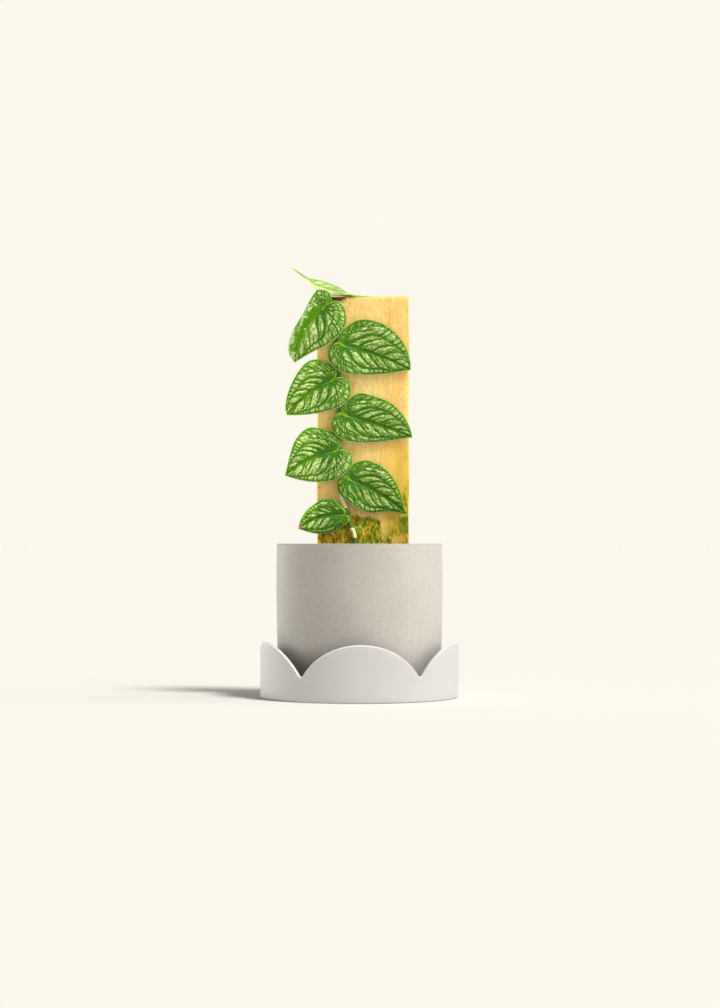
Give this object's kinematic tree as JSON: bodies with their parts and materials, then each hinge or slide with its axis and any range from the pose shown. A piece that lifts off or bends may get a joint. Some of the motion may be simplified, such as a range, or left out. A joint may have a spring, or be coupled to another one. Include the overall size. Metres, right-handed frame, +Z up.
{
  "type": "potted shingle plant",
  "caption": "Shingle plant whose flat patterned leaves overlap up an upright wooden plank, in a round pot on a scalloped saucer.",
  "frame": {"origin": "on the floor under the saucer, on the pot's axis", "axes": "+Z up, -Y the front where the leaves face, +X to the viewer's right"},
  "size_m": [0.192, 0.192, 0.4184],
  "materials": {
    "saucer": "smooth satin glaze, off-white",
    "pot": "matt fine-speckled stoneware, grey beige",
    "soil": "moist chunky potting mix",
    "plank": "rough-sawn softwood, algae-stained near the pot",
    "vine": "fresh green stem with pale sheaths",
    "leaf": "satin leaf, dark green veins between silver-green panels",
    "young_leaf": "soft pale lime new leaf"
  },
  "bodies": {
    "root": {"saucer": "saucer", "pot": "pot", "soil": "soil", "plank": "plank", "vine": "vine", "leaf_1": "leaf", "leaf_2": "leaf", "leaf_3": "leaf", "leaf_4": "leaf", "leaf_5": "leaf", "leaf_6": "leaf", "leaf_7": "leaf", "young_leaf": "young_leaf", "bud_leaf": "leaf"}
  },
  "joints": []
}
